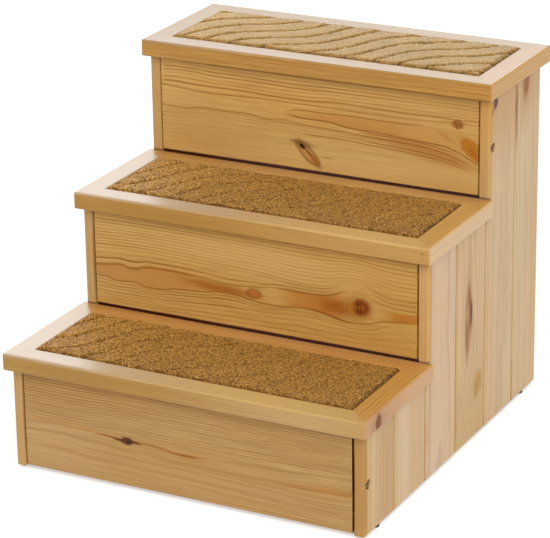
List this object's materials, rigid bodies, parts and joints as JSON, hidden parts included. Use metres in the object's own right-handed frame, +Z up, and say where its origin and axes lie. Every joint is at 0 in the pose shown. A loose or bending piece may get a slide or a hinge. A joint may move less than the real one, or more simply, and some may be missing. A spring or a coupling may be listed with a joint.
{
  "type": "pet stairs",
  "caption": "Wooden pet stairs with tongue-and-groove side panels and flat treads, each a mitred frame with a carpet inlay, so that a small pet can climb onto a bed or sofa.",
  "frame": {"origin": "on the floor, under the middle of the stairs' width and depth", "axes": "+X to the right of a viewer who faces the front, +Y back, the way a pet climbs, +Z up"},
  "size_m": [0.4, 0.452, 0.376],
  "materials": {
    "pine": "satin clear varnish",
    "pale_pine": "satin clear varnish",
    "plywood": "raw",
    "dowel": "raw",
    "carpet": "cut pile",
    "steel": "zinc plated",
    "rubber": "matt"
  },
  "bodies": {
    "root": {"tread_1_front_rail": "pine", "tread_1_rear_rail": "pine", "tread_1_left_rail": "pine", "tread_1_right_rail": "pine", "tread_1_base": "plywood", "tread_1_carpet": "carpet", "tread_2_front_rail": "pine", "tread_2_rear_rail": "pine", "tread_2_left_rail": "pine", "tread_2_right_rail": "pine", "tread_2_base": "plywood", "tread_2_carpet": "carpet", "tread_3_front_rail": "pine", "tread_3_rear_rail": "pine", "tread_3_left_rail": "pine", "tread_3_right_rail": "pine", "tread_3_base": "plywood", "tread_3_carpet": "carpet", "riser_1": "pine", "riser_2": "pine", "riser_3": "pine", "cross_cleat_1": "pine", "cross_cleat_2": "pine", "left_board_1": "pale_pine", "left_board_2": "pale_pine", "left_board_3": "pale_pine", "left_board_4": "pale_pine", "left_board_5": "pale_pine", "left_board_6": "pale_pine", "right_board_1": "pale_pine", "right_board_2": "pale_pine", "right_board_3": "pale_pine", "right_board_4": "pale_pine", "right_board_5": "pale_pine", "right_board_6": "pale_pine", "left_cleat_1": "pine", "left_cleat_2": "pine", "left_cleat_3": "pine", "left_floor_batten": "pine", "right_cleat_1": "pine", "right_cleat_2": "pine", "right_cleat_3": "pine", "right_floor_batten": "pine", "rear_rail_lower": "pine", "rear_rail_upper": "pine", "front_left_foot": "rubber", "front_right_foot": "rubber", "rear_left_foot": "rubber", "rear_right_foot": "rubber", "foot_nails": "steel", "riser_screws": "steel", "tread_screws": "steel", "riser_dowels": "dowel", "rear_rail_dowels": "dowel"}
  },
  "joints": []
}
